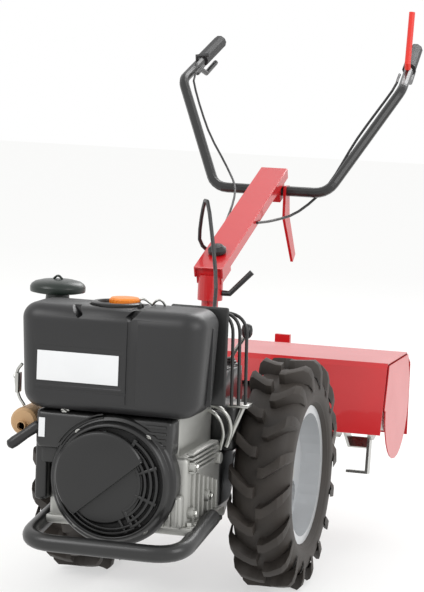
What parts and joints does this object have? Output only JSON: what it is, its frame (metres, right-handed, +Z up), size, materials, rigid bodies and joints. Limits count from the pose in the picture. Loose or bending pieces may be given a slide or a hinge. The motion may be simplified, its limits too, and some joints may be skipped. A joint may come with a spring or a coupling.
{
  "type": "walking tractor with rear rotary tiller",
  "caption": "Two-wheel walking tractor with a front engine, swivelling handlebar and a hooded rear rotary tiller, parked on its wheels and depth skid.",
  "frame": {"origin": "on the ground under the middle of the machine's outline", "axes": "+Y to the rear, where the driver walks; +X to the machine's left; +Z up"},
  "size_m": [0.6256, 1.5007, 1.1668],
  "materials": {
    "red_paint": "gloss red enamel",
    "black_metal": "satin black enamel",
    "black_plastic": "moulded black plastic",
    "aluminium": "cast and blasted",
    "steel": "bare steel",
    "silver_paint": "silver wheel enamel",
    "tyre": "dusty lugged rubber",
    "rubber": "ribbed hand grip",
    "heat_shield": "tan heat-proof enamel",
    "orange_plastic": "moulded orange plastic",
    "red_plastic": "moulded red plastic"
  },
  "bodies": {
    "chassis": {"engine_block": "aluminium", "fan_cover": "black_plastic", "cylinder_shroud": "black_plastic", "starter_grip": "black_plastic", "fuel_tank": "black_plastic", "fuel_cap": "orange_plastic", "cylinder_head": "black_plastic", "air_filter": "black_plastic", "muffler": "heat_shield", "front_bumper": "black_metal", "gearbox": "black_metal", "clutch_housing": "aluminium", "gear_lever": "steel", "steering_column": "red_paint", "axle_housing_left": "black_metal", "axle_housing_right": "black_metal", "tiller_coupling": "black_metal", "tiller_case": "black_metal", "hood_cover": "red_paint", "hood_rear": "red_paint", "hood_side_left": "red_paint", "hood_side_right": "red_paint", "skid_bracket": "red_paint", "depth_skid": "red_paint", "engine_cables": "black_plastic"},
    "wheel_left": {"tyre_left": "tyre", "rim_left": "silver_paint", "axle_left": "steel"},
    "wheel_right": {"tyre_right": "tyre", "rim_right": "silver_paint", "axle_right": "steel"},
    "tiller_rotor": {"rotor_shaft": "steel", "tines_left": "steel", "tines_right": "steel"},
    "steering": {"arm_channel": "red_paint", "swivel_head": "red_paint", "lock_lever": "black_plastic", "adjusting_knob": "black_plastic", "bar_clamp": "red_paint", "latch_bar": "red_paint"},
    "handlebar": {"handlebar": "black_metal", "grip_left": "rubber", "grip_right": "rubber", "notched_plate": "red_paint", "clutch_lever": "black_metal", "drive_lever": "black_metal", "stop_lever": "red_plastic", "throttle_lever": "black_plastic", "throttle_cable": "black_plastic", "clutch_cable": "black_plastic"}
  },
  "joints": [
    {"name": "left_wheel", "type": "hinge", "parent": "chassis", "child": "wheel_left", "pos_m": [0.201, -0.189, 0.23], "axis": [1, 0, 0], "continuous": true},
    {"name": "right_wheel", "type": "hinge", "parent": "chassis", "child": "wheel_right", "pos_m": [-0.201, -0.189, 0.23], "axis": [1, 0, 0], "continuous": true},
    {"name": "tiller_rotor", "type": "hinge", "parent": "chassis", "child": "tiller_rotor", "pos_m": [0, 0.361, 0.262], "axis": [1, 0, 0], "continuous": true},
    {"name": "steering", "type": "hinge", "parent": "chassis", "child": "steering", "pos_m": [0, -0.082, 0.6], "axis": [0, 0, 1], "range_deg": [-30, 30], "deforming": ["engine_cables"]},
    {"name": "handlebar_height", "type": "hinge", "parent": "steering", "child": "handlebar", "pos_m": [0, 0.372, 0.756], "axis": [1, 0, 0], "range_deg": [-20, 15], "deforming": ["throttle_cable", "clutch_cable"]}
  ]
}
